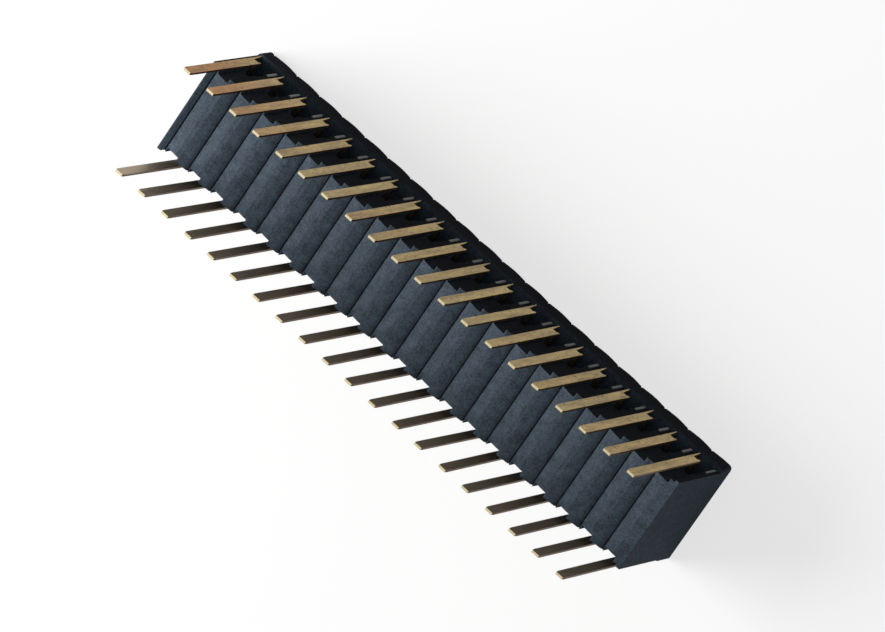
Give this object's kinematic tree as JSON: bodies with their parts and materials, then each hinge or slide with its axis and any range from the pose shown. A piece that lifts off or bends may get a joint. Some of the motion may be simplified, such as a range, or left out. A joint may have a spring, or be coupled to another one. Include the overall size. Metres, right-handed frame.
{
  "type": "female pin header strip",
  "caption": "Moulded female header strip with grooved cells, square sockets in its mating face, and rows of flat gold-plated solder tails along both long sides.",
  "frame": {"origin": "centre of the mating face, which lies on Z = 0", "axes": "+X along the strip, +Y across it, +Z from the mating face towards the board face and the tips of the solder tails"},
  "size_m": [0.051, 0.0104, 0.0153],
  "materials": {
    "housing": "matte black glass-filled plastic with a fine mottled grain",
    "contacts": "gold-plated stamped copper alloy, satin"
  },
  "bodies": {
    "root": {"housing": "housing", "contact_a01": "contacts", "contact_a02": "contacts", "contact_a03": "contacts", "contact_a04": "contacts", "contact_a05": "contacts", "contact_a06": "contacts", "contact_a07": "contacts", "contact_a08": "contacts", "contact_a09": "contacts", "contact_a10": "contacts", "contact_a11": "contacts", "contact_a12": "contacts", "contact_a13": "contacts", "contact_a14": "contacts", "contact_a15": "contacts", "contact_a16": "contacts", "contact_a17": "contacts", "contact_a18": "contacts", "contact_a19": "contacts", "contact_a20": "contacts", "contact_b01": "contacts", "contact_b02": "contacts", "contact_b03": "contacts", "contact_b04": "contacts", "contact_b05": "contacts", "contact_b06": "contacts", "contact_b07": "contacts", "contact_b08": "contacts", "contact_b09": "contacts", "contact_b10": "contacts", "contact_b11": "contacts", "contact_b12": "contacts", "contact_b13": "contacts", "contact_b14": "contacts", "contact_b15": "contacts", "contact_b16": "contacts", "contact_b17": "contacts", "contact_b18": "contacts", "contact_b19": "contacts", "contact_b20": "contacts"}
  },
  "joints": []
}
